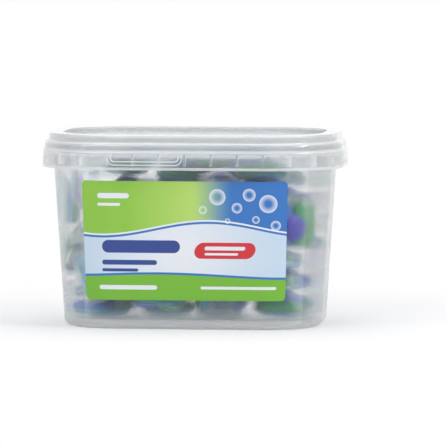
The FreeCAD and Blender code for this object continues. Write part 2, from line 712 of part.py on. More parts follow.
def settle(seed):
    """Placements of all pods, from the floor up."""
    draw_lots = random.Random(seed)
    skin = pod_skin()
    pile = Pile()
    places = []
    face_turn, face_place = facing_pod()
    face_squares = footprint(skin, face_turn, face_place)
    face_waits = True
    for index in range(POD_COUNT):
        face_lift = pile.lift(pile.lows(face_squares), 0, 0)
        if face_waits and face_lift > FACE_HEIGHT - FACE_ROOM:
            face_lift = max(face_lift, FACE_HEIGHT)
            pile.cover(face_squares, 0, 0, face_lift)
            places.append(FreeCAD.Placement(face_place + V(0, 0, face_lift), face_turn))
            face_waits = False
            continue
        best = pile.best_place(skin, chosen_turns(draw_lots, index))
        if best is None:
            raise RuntimeError(f"no room is left for pod {index + 1}")
        score, lift, ci, cj, turn, squares = best
        pile.cover(squares, ci, cj, lift)
        places.append(FreeCAD.Placement(V(ci * CELL, cj * CELL, lift), turn))
    return places


tub = make_tub()
lid = make_lid()
label = make_label()
pod = make_pod("pod_01")
places = settle(SEED)

# Every pod is the same piece: the others are copies of the first, each in its own place
pods = [pod]
for number in range(2, POD_COUNT + 1):
    copy = doc.addObject("App::Link", f"pod_{number:02d}")
    copy.LinkedObject = pod
    pods.append(copy)
for piece, place in zip(pods, places):
    piece.Placement = place
doc.recompute()

# The last pods to fall lie apart from each other and share one file
last = doc.addObject("Part::Compound", f"pods_{SINGLE_PODS + 1}_to_{POD_COUNT}")
last.Links = pods[SINGLE_PODS:]
doc.recompute()

pieces = [tub, lid, label] + pods[:SINGLE_PODS] + [last]
for item in doc.Objects:
    if "Invalid" in item.State or "Error" in item.State:
        raise RuntimeError(f"{item.Label} did not build")
for piece in pieces:
    shape = Part.getShape(piece)
    if shape.isNull() or not shape.isValid() or not shape.Solids:
        raise RuntimeError(f"{piece.Label} has no sound solid")
for piece in pieces:
    Part.getShape(piece).exportStep(f"parts/{piece.Label}.step")
print(len(pieces), "pieces,", round(size("body_width")), "mm wide tub, highest pod centre at",
      round(max(place.Base.z for place in places)), "mm")
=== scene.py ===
"""Looks of a laundry pod tub: a milky moulded tub and its press-on lid, a printed film label
and sixty flanged gel pods, built round the fixed frame in metres, +Z up, the front facing -Y."""
import math

import bpy
import numpy as np
from mathutils import Matrix, Vector


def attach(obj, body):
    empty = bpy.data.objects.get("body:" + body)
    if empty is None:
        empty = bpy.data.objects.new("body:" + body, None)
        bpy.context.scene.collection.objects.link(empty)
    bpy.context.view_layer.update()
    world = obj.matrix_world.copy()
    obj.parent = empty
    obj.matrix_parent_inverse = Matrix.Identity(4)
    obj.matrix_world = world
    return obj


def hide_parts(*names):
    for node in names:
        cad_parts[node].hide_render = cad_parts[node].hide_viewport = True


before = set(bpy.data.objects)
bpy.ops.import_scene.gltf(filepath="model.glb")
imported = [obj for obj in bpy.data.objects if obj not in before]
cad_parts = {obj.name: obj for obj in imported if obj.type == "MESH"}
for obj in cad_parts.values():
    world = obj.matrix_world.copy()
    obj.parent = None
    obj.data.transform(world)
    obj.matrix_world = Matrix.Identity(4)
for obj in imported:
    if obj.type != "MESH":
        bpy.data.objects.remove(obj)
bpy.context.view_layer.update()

bl_info = {
    "name": "Laundry Pod Tub",
    "version": (1, 0, 0),
    "blender": (4, 5, 0),
    "location": "3D View > Sidebar > Pod Tub",
    "description": "Finishes a translucent tub, its lid and label, and the gel pods inside it",
    "category": "Object",
}

MM = 0.001
POD_NODES = sorted(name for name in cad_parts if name.startswith("pod"))
GELS = ("blue", "green", "violet", "slate")
INKS = ("lime", "leaf", "sky", "blue", "navy", "red")


def srgb(code, alpha=1.0):
    """A #rrggbb colour as the linear values that Blender keeps."""
    parts = [int(code[i:i + 2], 16) / 255 for i in (1, 3, 5)]
    return tuple(c / 12.92 if c <= 0.04045 else ((c + 0.055) / 1.055) ** 2.4 for c in parts) + (alpha,)


def add_node(tree, kind, settings=None, inputs=None):
    """A node with its settings, and a value or another node's socket for each of its sockets."""
    made = tree.nodes.new(kind)
    for key, value in (settings or {}).items():
        setattr(made, key, value)
    for key, value in (inputs or {}).items():
        if isinstance(value, bpy.types.NodeSocket):
            tree.links.new(value, made.inputs[key])
        else:
            made.inputs[key].default_value = value
    return made


def new_material(name):
    """An empty node material and its output node."""
    material = bpy.data.materials.new(name)
    material.use_nodes = True
    tree = material.node_tree
    tree.nodes.clear()
    return material, tree, tree.nodes.new("ShaderNodeOutputMaterial")


# Settings

class PlasticSettings(bpy.types.PropertyGroup):
    """The milky polypropylene of the tub and the lid."""
    tint: bpy.props.FloatVectorProperty(
        name="Plastic", description="Colour of the haze in the moulded wall",
        subtype="COLOR", size=4, min=0, max=1, default=srgb("#f6f8f9"))
    blur: bpy.props.FloatProperty(
        name="Blur", description="Share of the haze that passes light on, as frosted glass does",
        subtype="FACTOR", min=0, max=1, default=0.96)


class LabelSettings(bpy.types.PropertyGroup):
    """The printed film on the front wall."""
    lime: bpy.props.FloatVectorProperty(
        name="Lime", description="Lime end of the upper field", subtype="COLOR", size=4, min=0, max=1,
        default=srgb("#8dc63c"))
    leaf: bpy.props.FloatVectorProperty(
        name="Leaf", description="Deeper green foot", subtype="COLOR", size=4, min=0, max=1,
        default=srgb("#74b928"))
    sky: bpy.props.FloatVectorProperty(
        name="Sky", description="Pale blue ground of the middle", subtype="COLOR", size=4, min=0, max=1,
        default=srgb("#c8dcee"))
    blue: bpy.props.FloatVectorProperty(
        name="Blue", description="Blue end of the upper field", subtype="COLOR", size=4, min=0, max=1,
        default=srgb("#2a72c0"))
    navy: bpy.props.FloatVectorProperty(
        name="Navy", description="Dark blue bars", subtype="COLOR", size=4, min=0, max=1,
        default=srgb("#22408e"))
    red: bpy.props.FloatVectorProperty(
        name="Red", description="Red slanted bar", subtype="COLOR", size=4, min=0, max=1,
        default=srgb("#d3242f"))


class PodSettings(bpy.types.PropertyGroup):
    """One gel pod in its own frame: the film edge in its XY plane, the dome up."""
    flange_length: bpy.props.FloatProperty(
        name="Flange Length", description="Film edge, across both long chambers",
        subtype="DISTANCE", unit="LENGTH", default=39.6 * MM)
    flange_width: bpy.props.FloatProperty(
        name="Flange Width", description="Film edge, along the chambers",
        subtype="DISTANCE", unit="LENGTH", default=36.4 * MM)
    pouch_depth: bpy.props.FloatProperty(
        name="Pouch Depth", description="Lower chamber below the film edge",
        subtype="DISTANCE", unit="LENGTH", default=4.6 * MM)
    dome_height: bpy.props.FloatProperty(
        name="Dome Height", description="Top of the round chamber above the film edge",
        subtype="DISTANCE", unit="LENGTH", default=9.0 * MM)
    cell_height: bpy.props.FloatProperty(
        name="Chamber Height", description="Top of the long chambers above the film edge",
        subtype="DISTANCE", unit="LENGTH", default=5.6 * MM)
    blue: bpy.props.FloatVectorProperty(
        name="Blue Gel", description="Gel of one long chamber", subtype="COLOR", size=4,
        min=0, max=1, default=srgb("#1a6cc8"))
    green: bpy.props.FloatVectorProperty(
        name="Green Gel", description="Gel of the other long chamber", subtype="COLOR", size=4,
        min=0, max=1, default=srgb("#089458"))
    violet: bpy.props.FloatVectorProperty(
        name="Violet Gel", description="Gel of the dome", subtype="COLOR", size=4,
        min=0, max=1, default=srgb("#2416b4"))
    slate: bpy.props.FloatVectorProperty(
        name="Slate Gel", description="Gel of the lower chamber", subtype="COLOR", size=4,
        min=0, max=1, default=srgb("#3aa0bc"))


class StageSettings(bpy.types.PropertyGroup):
    """Camera, floor and lamps."""
    camera_place: bpy.props.FloatVectorProperty(
        name="Camera", description="Where the camera stands", subtype="XYZ", unit="LENGTH",
        size=3, default=(0.386, -3.222, 0.306))
    camera_turn: bpy.props.FloatProperty(
        name="Turn", description="Camera turned to the left", subtype="ANGLE",
        default=math.radians(6.49))
    camera_dip: bpy.props.FloatProperty(
        name="Dip", description="Camera pitched down", subtype="ANGLE", default=math.radians(4.17))
    lens: bpy.props.FloatProperty(name="Lens", description="Focal length in millimetres", default=375.7)
    ambient: bpy.props.FloatProperty(
        name="Ambient", description="Strength of the pale surroundings", min=0, default=0.36)


# Milky plastic

# How hazy a surface is at each height in millimetres
CLEAR_HAZE = 0.57
TUB_HAZE = ((0.0, 0.8), (3.0, 0.7), (5.0, 0.62), (12.0, CLEAR_HAZE), (112.0, CLEAR_HAZE), (124.0, 0.66))
# The lid's bands follow its thicker bead and step, and also paint the bright and dark lines along them and
# the shoulder: painted highlight and shade
LID_HAZE_AND_PAINTED_LINES = ((110.5, 0.85), (112.2, 0.8), (112.8, 0.45), (121.0, 0.48), (122.2, 0.85), (123.8, 0.8),
            (124.4, 0.6), (126.5, 0.66), (128.5, 0.86), (130.0, 0.7), (134.2, 0.8))
DENSE_HAZE, DENSE_BLUR = 0.95, 0.3    # plastic as hazy as this, and the share of it that passes light on
SLANT_HAZE, SLANT_POWER = 0.4, 4.0    # haze added where the wall is seen at a slant
MARK_HAZE = 0.5    # haze added on the webs, and on the tab's outline as painted highlight lines
WEB_PAINTED_GLOW = 0.22    # painted glow on the webs, which no lamp reaches through the skirt
TUB_GLOSS, LID_GLOSS = 0.1, 0.8    # the tub's wall mirrors less than the lid's rounded bands
MOULD_ROUGHNESS = (0.14, 0.24)
GRAIN_WIDTH = 0.9 * MM    # spark-finished mould grain, drawn coarser than the real 0.05 mm so that it shows
GRAIN_DEPTH = 0.05 * MM
WAVE_WIDTH, WAVE_DEPTH = 28.0 * MM, 0.5 * MM    # slow waves of the moulded wall

# The tub's wall at its top and the webs outside it, as the CAD has them
OUTLINE = (96.9 * MM, 61.2 * MM, 46.0 * MM)    # half width, half depth and corner
WEB_REACH = (0.5 * MM, 5.0 * MM)    # distances outside the outline
WEB_HEIGHTS = (112.5 * MM, 121.3 * MM)
WEB_FADE = 0.2 * MM

# The thinned line round the tear tab, a rounded rectangle whose upper end would lie above the skirt; its
# edges get painted highlight lines
TAB_MIDDLE, TAB_FOOT = -27.3 * MM, 113.9 * MM
TAB_HALF, TAB_CORNER = (25.7 * MM, 20.0 * MM), 5.0 * MM
TAB_LINE = 2.4 * MM    # width of the line
TAB_EDGE, TAB_FADE = 0.45 * MM, 0.3 * MM    # half width and softness of each of its painted bright edges
TAB_HEIGHTS = (113.5 * MM, 121.6 * MM)
TAB_BEHIND = -60.0 * MM    # the front of the skirt lies farther forward than this


def between(tree, value, low, high, soft):
    """1 where a value lies between two bounds, with soft ends."""
    middle = add_node(tree, "ShaderNodeMath", {"operation": "SUBTRACT"}, {0: value, 1: (low + high) / 2})
    away = add_node(tree, "ShaderNodeMath", {"operation": "ABSOLUTE"}, {0: middle.outputs[0]})
    half = (high - low) / 2
    return add_node(tree, "ShaderNodeMapRange", inputs={
        "Value": away.outputs[0], "From Min": half - soft / 2, "From Max": half + soft / 2,
        "To Min": 1.0, "To Max": 0.0}).outputs["Result"]


def outside_outline(tree, place):
    """How far a point is outside the outline of the wall's top, in metres."""
    plan = add_node(tree, "ShaderNodeVectorMath", {"operation": "MULTIPLY"}, {0: place, 1: (1.0, 1.0, 0.0)})
    plan = add_node(tree, "ShaderNodeVectorMath", {"operation": "ABSOLUTE"}, {0: plan.outputs[0]})
    over = add_node(tree, "ShaderNodeVectorMath", {"operation": "SUBTRACT"}, {
        0: plan.outputs[0], 1: (OUTLINE[0] - OUTLINE[2], OUTLINE[1] - OUTLINE[2], 0.0)})
    over = add_node(tree, "ShaderNodeVectorMath", {"operation": "MAXIMUM"}, {
        0: over.outputs[0], 1: (0.0, 0.0, 0.0)})
    away = add_node(tree, "ShaderNodeVectorMath", {"operation": "LENGTH"}, {0: over.outputs[0]})
    return add_node(tree, "ShaderNodeMath", {"operation": "SUBTRACT"}, {
        0: away.outputs["Value"], 1: OUTLINE[2]}).outputs[0]


def web_marks(tree, place, height):
    """The thin webs of the collar, given extra haze and, on the tub, a painted glow that no lamp causes."""
    away = outside_outline(tree, place)
    return add_node(tree, "ShaderNodeMath", {"operation": "MULTIPLY"}, {
        0: between(tree, away, *WEB_REACH, WEB_FADE),
        1: between(tree, height, *WEB_HEIGHTS, WEB_FADE)}).outputs[0]


def tab_painted_highlights(tree, place, height):
    """The two edges of the thinned line round the tear tab, painted as bright highlight lines."""
    flat = add_node(tree, "ShaderNodeVectorMath", {"operation": "SUBTRACT"}, {
        0: place, 1: (TAB_MIDDLE, 0.0, TAB_FOOT + TAB_HALF[1])})
    flat = add_node(tree, "ShaderNodeVectorMath", {"operation": "MULTIPLY"}, {
        0: flat.outputs[0], 1: (1.0, 0.0, 1.0)})
    flat = add_node(tree, "ShaderNodeVectorMath", {"operation": "ABSOLUTE"}, {0: flat.outputs[0]})
    over = add_node(tree, "ShaderNodeVectorMath", {"operation": "SUBTRACT"}, {
        0: flat.outputs[0], 1: (TAB_HALF[0] - TAB_CORNER, 0.0, TAB_HALF[1] - TAB_CORNER)})
    parts = add_node(tree, "ShaderNodeSeparateXYZ", inputs={0: over.outputs[0]})
    inner = add_node(tree, "ShaderNodeMath", {"operation": "MAXIMUM"}, {
        0: parts.outputs["X"], 1: parts.outputs["Z"]})
    inner = add_node(tree, "ShaderNodeMath", {"operation": "MINIMUM"}, {0: inner.outputs[0], 1: 0.0})
    out = add_node(tree, "ShaderNodeVectorMath", {"operation": "MAXIMUM"}, {
        0: over.outputs[0], 1: (0.0, 0.0, 0.0)})
    out = add_node(tree, "ShaderNodeVectorMath", {"operation": "LENGTH"}, {0: out.outputs[0]})
    edge = add_node(tree, "ShaderNodeMath", {"operation": "ADD"}, {
        0: out.outputs["Value"], 1: inner.outputs[0]})
    edge = add_node(tree, "ShaderNodeMath", {"operation": "SUBTRACT"}, {
        0: edge.outputs[0], 1: TAB_CORNER - TAB_LINE / 2})
    edge = add_node(tree, "ShaderNodeMath", {"operation": "ABSOLUTE"}, {0: edge.outputs[0]})
    lines = between(tree, edge.outputs[0], TAB_LINE / 2 - TAB_EDGE, TAB_LINE / 2 + TAB_EDGE, TAB_FADE)
    parts = add_node(tree, "ShaderNodeSeparateXYZ", inputs={0: place})
    front = add_node(tree, "ShaderNodeMath", {"operation": "LESS_THAN"}, {
        0: parts.outputs["Y"], 1: TAB_BEHIND})
    lines = add_node(tree, "ShaderNodeMath", {"operation": "MULTIPLY"}, {0: lines, 1: front.outputs[0]})
    return add_node(tree, "ShaderNodeMath", {"operation": "MULTIPLY"}, {
        0: lines.outputs[0], 1: between(tree, height, *TAB_HEIGHTS, TAB_FADE)}).outputs[0]


def milky_plastic(name, tint, hazes, blur, gloss, marks, glow=0.0):
    """Natural polypropylene, injection moulded: part of the light passes straight, so that what
    lies at the wall is clear, part is spread as through frosted glass, so that what lies farther
    in goes soft, and where the wall is thick or turns its edge it comes back as a pale veil, under
    a soft gloss and the faint grain and waves of the mould."""
    material, tree, output = new_material(name)
    coords = add_node(tree, "ShaderNodeTexCoord")
    place = coords.outputs["Object"]
    height = add_node(tree, "ShaderNodeSeparateXYZ", inputs={0: place}).outputs["Z"]
    low, high = hazes[0][0], hazes[-1][0]
    along = add_node(tree, "ShaderNodeMapRange", inputs={
        "Value": height, "From Min": low * MM, "From Max": high * MM})
    ramp = add_node(tree, "ShaderNodeValToRGB", inputs={0: along.outputs["Result"]})
    stops = ramp.color_ramp.elements
    while len(stops) < len(hazes):
        stops.new(1.0)
    for stop, (at, haze) in zip(stops, hazes):
        stop.position = (at - low) / (high - low)
        stop.color = (haze, haze, haze, 1.0)
    # The marks: the webs, or the painted highlight lines on the edges of the tab's outline
    marked = marks(tree, place, height)
    veil = add_node(tree, "ShaderNodeMath", {"operation": "MULTIPLY_ADD", "use_clamp": True}, {
        0: marked, 1: MARK_HAZE, 2: ramp.outputs["Color"]}).outputs[0]
    slant = add_node(tree, "ShaderNodeLayerWeight", inputs={"Blend": 0.5})
    slant = add_node(tree, "ShaderNodeMath", {"operation": "POWER"}, {
        0: slant.outputs["Facing"], 1: SLANT_POWER})
    haze = add_node(tree, "ShaderNodeMath", {"operation": "MULTIPLY_ADD", "use_clamp": True}, {
        0: slant.outputs[0], 1: SLANT_HAZE, 2: veil})
    passed = add_node(tree, "ShaderNodeMapRange", inputs={
        "Value": veil, "From Min": CLEAR_HAZE, "From Max": DENSE_HAZE,
        "To Min": blur, "To Max": DENSE_BLUR})
    grain = add_node(tree, "ShaderNodeTexNoise", inputs={
        "Vector": place, "Scale": 1 / GRAIN_WIDTH, "Detail": 2.0})
    waves = add_node(tree, "ShaderNodeTexNoise", inputs={
        "Vector": place, "Scale": 1 / WAVE_WIDTH, "Detail": 1.0})
    fine = add_node(tree, "ShaderNodeBump", inputs={
        "Height": grain.outputs["Fac"], "Strength": 0.1, "Distance": GRAIN_DEPTH})
    both = add_node(tree, "ShaderNodeBump", inputs={
        "Height": waves.outputs["Fac"], "Normal": fine.outputs["Normal"],
        "Strength": 0.3, "Distance": WAVE_DEPTH})
    dull = add_node(tree, "ShaderNodeMapRange", inputs={
        "Value": grain.outputs["Fac"], "To Min": MOULD_ROUGHNESS[0], "To Max": MOULD_ROUGHNESS[1]})
    shader = add_node(tree, "ShaderNodeBsdfPrincipled", inputs={
        "Base Color": tint, "Roughness": dull.outputs["Result"], "IOR": 1.49, "Specular IOR Level": 0.3,
        "Alpha": haze.outputs[0], "Transmission Weight": passed.outputs["Result"],
        "Coat Weight": gloss, "Coat Roughness": 0.1, "Normal": both.outputs["Normal"]})
    # Painted glow: the marks give off light of their own, standing in for light that no lamp brings to them
    if glow:
        tree.links.new(marked, shader.inputs["Emission Color"])
        shader.inputs["Emission Strength"].default_value = glow
    tree.links.new(shader.outputs["BSDF"], output.inputs["Surface"])
    return material


# Tub and lid

def give_material(node, material):
    """Puts one material in every slot of a node."""
    for slot in node.material_slots:
        slot.material = material
    if not node.material_slots:
        node.data.materials.append(material)


class FinishTub(bpy.types.Operator):
    """Gives the moulded tub its milky plastic"""
    bl_idname = "pod_tub.finish_tub"
    bl_label = "Finish Tub"

    def execute(self, context):
        plastic = context.scene.tub_plastic
        give_material(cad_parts["tub"], milky_plastic(
            "polypropylene_moulded_tub", plastic.tint, TUB_HAZE, plastic.blur,
            TUB_GLOSS, web_marks, WEB_PAINTED_GLOW))
        return {"FINISHED"}


class FinishLid(bpy.types.Operator):
    """Gives the moulded lid its milky plastic"""
    bl_idname = "pod_tub.finish_lid"
    bl_label = "Finish Lid"

    def execute(self, context):
        plastic = context.scene.tub_plastic
        give_material(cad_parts["lid"], milky_plastic(
            "polypropylene_moulded_lid", plastic.tint, LID_HAZE_AND_PAINTED_LINES, plastic.blur,
            LID_GLOSS, tab_painted_highlights))
        return {"FINISHED"}


# Pods

SEAM_GREY = 0.15    # share of middle grey in a gel's colour where its chamber is shallow
DEPTH_POWER = 0.7    # full colour is reached soon after the seam
STREAK_WIDTH, STREAK_SHARE = 7.0 * MM, 0.5
WRINKLE_WIDTH, WRINKLE_DEPTH = 5.0 * MM, 0.9 * MM    # the stretched film over a chamber
GEL_REACH = 5.0 * MM    # how far light wanders in the gel
CRINKLE_WIDTH, CRINKLE_DEPTH = 4.0 * MM, 0.8 * MM    # the flat film round the chambers
CRINKLE_REACH, FILM_SHOWN = (0.6, 1.2), (0.3, 0.75)    # from flat film to a crinkle, and how much shows: painted white glints on the crinkles' ridges

POUCH_HALF, POUCH_CORNER = (17.5 * MM, 15.8 * MM), 9.0 * MM
CELL_HALF, CELL_CORNER, CELL_SHIFT = (8.3 * MM, 15.5 * MM), 6.0 * MM, 8.7 * MM
DOME_RADIUS, DOME_CENTRE = 10.8 * MM, (0.0, -2.0 * MM)
DOME_CORNER = 0.999 * DOME_RADIUS    # a hair under the radius, so that the outline keeps its straights
FILM_CORNER = 7.0 * MM
FILM_HALF = 0.12 * MM    # half of the sheet, which is about twice two real films so that it shows
SEAL_WIDTH = 2.4 * MM
RIPPLE = 0.16 * MM    # height of the waves in the sealed edge
RIPPLE_WAVES = ((9, 1.0, 0.0), (16, 0.6, 1.0))    # waves round the edge, their share and their shift

POUCH_POINTS, CELL_POINTS, DOME_POINTS, FILM_POINTS = 56, 44, 40, 72    # points round each outline
CELL_RINGS, DOME_RINGS = 6, 8    # rings from an outline to its crown
CELL_CURVE, DOME_CURVE = 0.62, 0.95    # 1 is an ellipse, and less is fuller at the shoulder
LAST_STEP, LEAST_RING = 0.6, 0.04    # the last ring's step short of the crown, and its least size

NEAR, SQUARE, SAME = 0.97, 0.02, 0.99999    # cosines of directions that are near, square and the same
MICROMETRES = 1e6    # in a metre, and corners closer than one are the same
SLIVER = 1e-12    # twice the area of a triangle too thin to have a direction
CROWN_BAND = 0.2 * MM    # what lies this close to a pod's top is its dome's crown


def gel(name, deep):
    """Coloured liquid gel behind film: full colour where the chamber is deep, paler at its seam,
    faintly streaked, with the wet gloss of the stretched film over it."""
    material, tree, output = new_material(name)
    coords = add_node(tree, "ShaderNodeTexCoord")
    depth = add_node(tree, "ShaderNodeAttribute", {"attribute_name": "gel_depth"})
    pale = tuple((1 - SEAM_GREY) * c + SEAM_GREY * 0.5 for c in deep[:3]) + (1.0,)
    streaks = add_node(tree, "ShaderNodeTexNoise", inputs={
        "Vector": coords.outputs["Object"], "Scale": 1 / STREAK_WIDTH, "Detail": 2.0})
    full = add_node(tree, "ShaderNodeMath", {"operation": "MULTIPLY_ADD", "use_clamp": True}, {
        0: streaks.outputs["Fac"], 1: STREAK_SHARE, 2: depth.outputs["Fac"]})
    colour = add_node(tree, "ShaderNodeMix", {"data_type": "RGBA"}, {
        0: full.outputs[0], 6: pale, 7: deep})
    wrinkles = add_node(tree, "ShaderNodeTexNoise", inputs={
        "Vector": coords.outputs["Object"], "Scale": 1 / WRINKLE_WIDTH, "Detail": 2.0,
        "Distortion": 0.6})
    bump = add_node(tree, "ShaderNodeBump", inputs={
        "Height": wrinkles.outputs["Fac"], "Strength": 0.6, "Distance": WRINKLE_DEPTH})
    shader = add_node(tree, "ShaderNodeBsdfPrincipled", inputs={
        "Base Color": colour.outputs[2], "Roughness": 0.35, "IOR": 1.36, "Specular IOR Level": 0.25,
        "Subsurface Weight": 0.35, "Subsurface Scale": GEL_REACH, "Subsurface Radius": (1.0, 1.0, 1.0),
        "Coat Weight": 0.8, "Coat Roughness": 0.04, "Normal": bump.outputs["Normal"]})
    tree.links.new(shader.outputs["BSDF"], output.inputs["Surface"])
    return material


def soluble_film(name):
    """Polyvinyl alcohol film, cast, vacuum formed and sealed: nearly clear and glossy, with fine
    crinkles that catch the light, and painted white glints where their ridges are made more opaque."""
    material, tree, output = new_material(name)
    coords = add_node(tree, "ShaderNodeTexCoord")
    crinkle = add_node(tree, "ShaderNodeTexNoise", {"noise_type": "RIDGED_MULTIFRACTAL"}, {
        "Vector": coords.outputs["Object"], "Scale": 1 / CRINKLE_WIDTH, "Detail": 2.0})
    bump = add_node(tree, "ShaderNodeBump", inputs={
        "Height": crinkle.outputs["Fac"], "Strength": 0.8, "Distance": CRINKLE_DEPTH})
    # Painted glints: the whitish film is more opaque along the crinkles' ridges
    painted_glint = add_node(tree, "ShaderNodeMapRange", inputs={
        "Value": crinkle.outputs["Fac"], "From Min": CRINKLE_REACH[0], "From Max": CRINKLE_REACH[1],
        "To Min": FILM_SHOWN[0], "To Max": FILM_SHOWN[1]})
    shader = add_node(tree, "ShaderNodeBsdfPrincipled", inputs={
        "Base Color": srgb("#eef6f5"), "Roughness": 0.12, "IOR": 1.48, "Alpha": painted_glint.outputs["Result"],
        "Transmission Weight": 0.3, "Normal": bump.outputs["Normal"]})
    tree.links.new(shader.outputs["BSDF"], output.inputs["Surface"])
    return material


def rounded_outline(count, half_x, half_y, corner):
    """Points of a rounded rectangle, counter-clockwise from the middle of its right side."""
    straight_x, straight_y = half_x - corner, half_y - corner
    quarter = corner * math.pi / 2
    total = 4 * (straight_x + straight_y + quarter)
    points = []
    for i in range(count):
        way = total * i / count
        side_x, side_y = 1, 1
        if way > total / 2:
            way = total - way
            side_y = -1
        if way > total / 4:
            way = total / 2 - way
            side_x = -1
        if way < straight_y:
            point = (half_x, way)
        elif way < straight_y + quarter:
            turn = (way - straight_y) / corner
            point = (straight_x + corner * math.cos(turn), straight_y + corner * math.sin(turn))
        else:
            point = (straight_x - (way - straight_y - quarter), half_y)
        points.append((side_x * point[0], side_y * point[1]))
    return points


def chamber(name, outline, profile, centre=(0.0, 0.0)):
    """A crowned closed form: its outline at the film, drawn in and up along a profile of
    (share of the outline's size, height) to a crown."""
    piece = plate(name, [(x + centre[0], y + centre[1]) for x, y in outline], profile[0][1])
    for (size, height), (next_size, next_height) in zip(profile, profile[1:]):
        bpy.ops.mesh.extrude_region_move(TRANSFORM_OT_translate={"value": (0, 0, next_height - height)})
        ratio = next_size / size
        bpy.ops.transform.resize(value=(ratio, ratio, 1))
    bpy.ops.mesh.merge(type="CENTER")
    bpy.ops.object.mode_set(mode="OBJECT")
    return piece


def plate(name, outline, height):
    """A flat face with a given outline, selected in edit mode."""
    bpy.ops.object.select_all(action="DESELECT")
    bpy.ops.mesh.primitive_circle_add(vertices=len(outline), radius=1.0, fill_type="NGON")
    piece = bpy.context.object
    piece.name = name
    for vertex, (x, y) in zip(piece.data.vertices, outline):
        vertex.co = (x, y, height)
    bpy.ops.object.mode_set(mode="EDIT")
    bpy.ops.mesh.select_all(action="SELECT")
    return piece


def film_sheet(outline):
    """The two films sealed face to face that all chambers stand on, rippled along their edge
    where the seal has drawn them up."""
    sheet = plate("film", outline, -FILM_HALF)
    bpy.ops.mesh.extrude_region_move(TRANSFORM_OT_translate={"value": (0, 0, 2 * FILM_HALF)})
    for _ in range(2):
        bpy.ops.mesh.inset(thickness=SEAL_WIDTH / 2)
    bpy.ops.object.mode_set(mode="OBJECT")
    corners = sheet.data.vertices
    total = sum(share for _, share, _ in RIPPLE_WAVES)
    for index in range(2 * len(outline)):
        turn = 2 * math.pi * (index % len(outline)) / len(outline)
        swing = sum(share * math.sin(count * turn + shift) for count, share, shift in RIPPLE_WAVES)
        corners[index].co.z += RIPPLE * swing / total
    return sheet


def crowned_profile(height, curve, rings):
    """A quarter of a superellipse, from the film edge to near the crown."""
    profile = []
    for i in range(rings + 1):
        angle = math.pi / 2 * i / (rings + LAST_STEP)
        profile.append((max(math.cos(angle) ** curve, LEAST_RING), height * math.sin(angle) ** curve))
    return profile


def model_pod(settings, materials):
    """One pod in its own frame, with a slot for each gel and one for the film."""
    cell_outline = rounded_outline(CELL_POINTS, *CELL_HALF, CELL_CORNER)
    cell_profile = crowned_profile(settings.cell_height, CELL_CURVE, CELL_RINGS)
    pouch_outline = rounded_outline(POUCH_POINTS, *POUCH_HALF, POUCH_CORNER)
    pouch_profile = [(s, -z) for s, z in crowned_profile(settings.pouch_depth, CELL_CURVE, CELL_RINGS)]
    dome_outline = rounded_outline(DOME_POINTS, DOME_RADIUS, DOME_RADIUS, DOME_CORNER)
    dome_profile = crowned_profile(settings.dome_height, DOME_CURVE, DOME_RINGS)
    film_outline = rounded_outline(
        FILM_POINTS, settings.flange_length / 2, settings.flange_width / 2, FILM_CORNER)
    parts = [
        (chamber("pouch", pouch_outline, pouch_profile), "slate"),
        (chamber("blue_cell", cell_outline, cell_profile, (-CELL_SHIFT, 0.0)), "blue"),
        (chamber("green_cell", cell_outline, cell_profile, (CELL_SHIFT, 0.0)), "green"),
        (chamber("dome", dome_outline, dome_profile, DOME_CENTRE), "violet"),
        (film_sheet(film_outline), "film"),
    ]
    slots = list(materials)
    for piece, colour in parts:
        mesh = piece.data
        for material in materials.values():
            mesh.materials.append(material)
        peak = max(abs(v.co.z) for v in mesh.vertices)
        depth = mesh.attributes.new("gel_depth", "FLOAT", "POINT")
        for i, vertex in enumerate(mesh.vertices):
            depth.data[i].value = (abs(vertex.co.z) / peak) ** DEPTH_POWER
        for face in mesh.polygons:
            face.use_smooth = True
            face.material_index = slots.index(colour)
    bpy.ops.object.select_all(action="DESELECT")
    for piece, _ in parts:
        piece.select_set(True)
    bpy.context.view_layer.objects.active = parts[0][0]
    bpy.ops.object.join()
    pod = bpy.context.object
    pod.name = "pod_master"
    bpy.ops.object.mode_set(mode="EDIT")
    bpy.ops.mesh.select_all(action="SELECT")
    bpy.ops.mesh.normals_make_consistent(inside=False)
    bpy.ops.object.mode_set(mode="OBJECT")
    return pod


def solids_of(node):
    """The node's separate solids, each as an array of the places of its triangles' corners."""
    mesh = node.data
    mesh.calc_loop_triangles()
    places = np.array([v.co[:] for v in mesh.vertices])
    triangles = np.array([t.vertices[:] for t in mesh.loop_triangles])
    numbers = {}
    spots = [tuple(spot) for spot in np.round(places * MICROMETRES).astype(int)]
    welded = np.array([numbers.setdefault(spot, len(numbers)) for spot in spots])
    group = np.arange(len(numbers))
    corners = welded[triangles]
    while True:
        lowest = group[corners].min(axis=1)
        updated = group.copy()
        for k in range(3):
            np.minimum.at(updated, corners[:, k], lowest)
        if (updated == group).all():
            break
        group = updated
    owner = group[corners[:, 0]]
    return [places[triangles[owner == g]] for g in np.unique(owner)]


def commonest_normal(normals, areas, near, across=None):
    """The direction near a guess, or against it, that most of the flat area faces."""
    chosen = np.abs(normals @ near) > NEAR
    if across is not None:
        chosen &= np.abs(normals @ across) < SQUARE
    found, weight = normals[chosen], areas[chosen]
    like = (np.abs(found @ found.T) > SAME) @ weight
    best = found[like.argmax()]
    return best if best @ near > 0 else -best


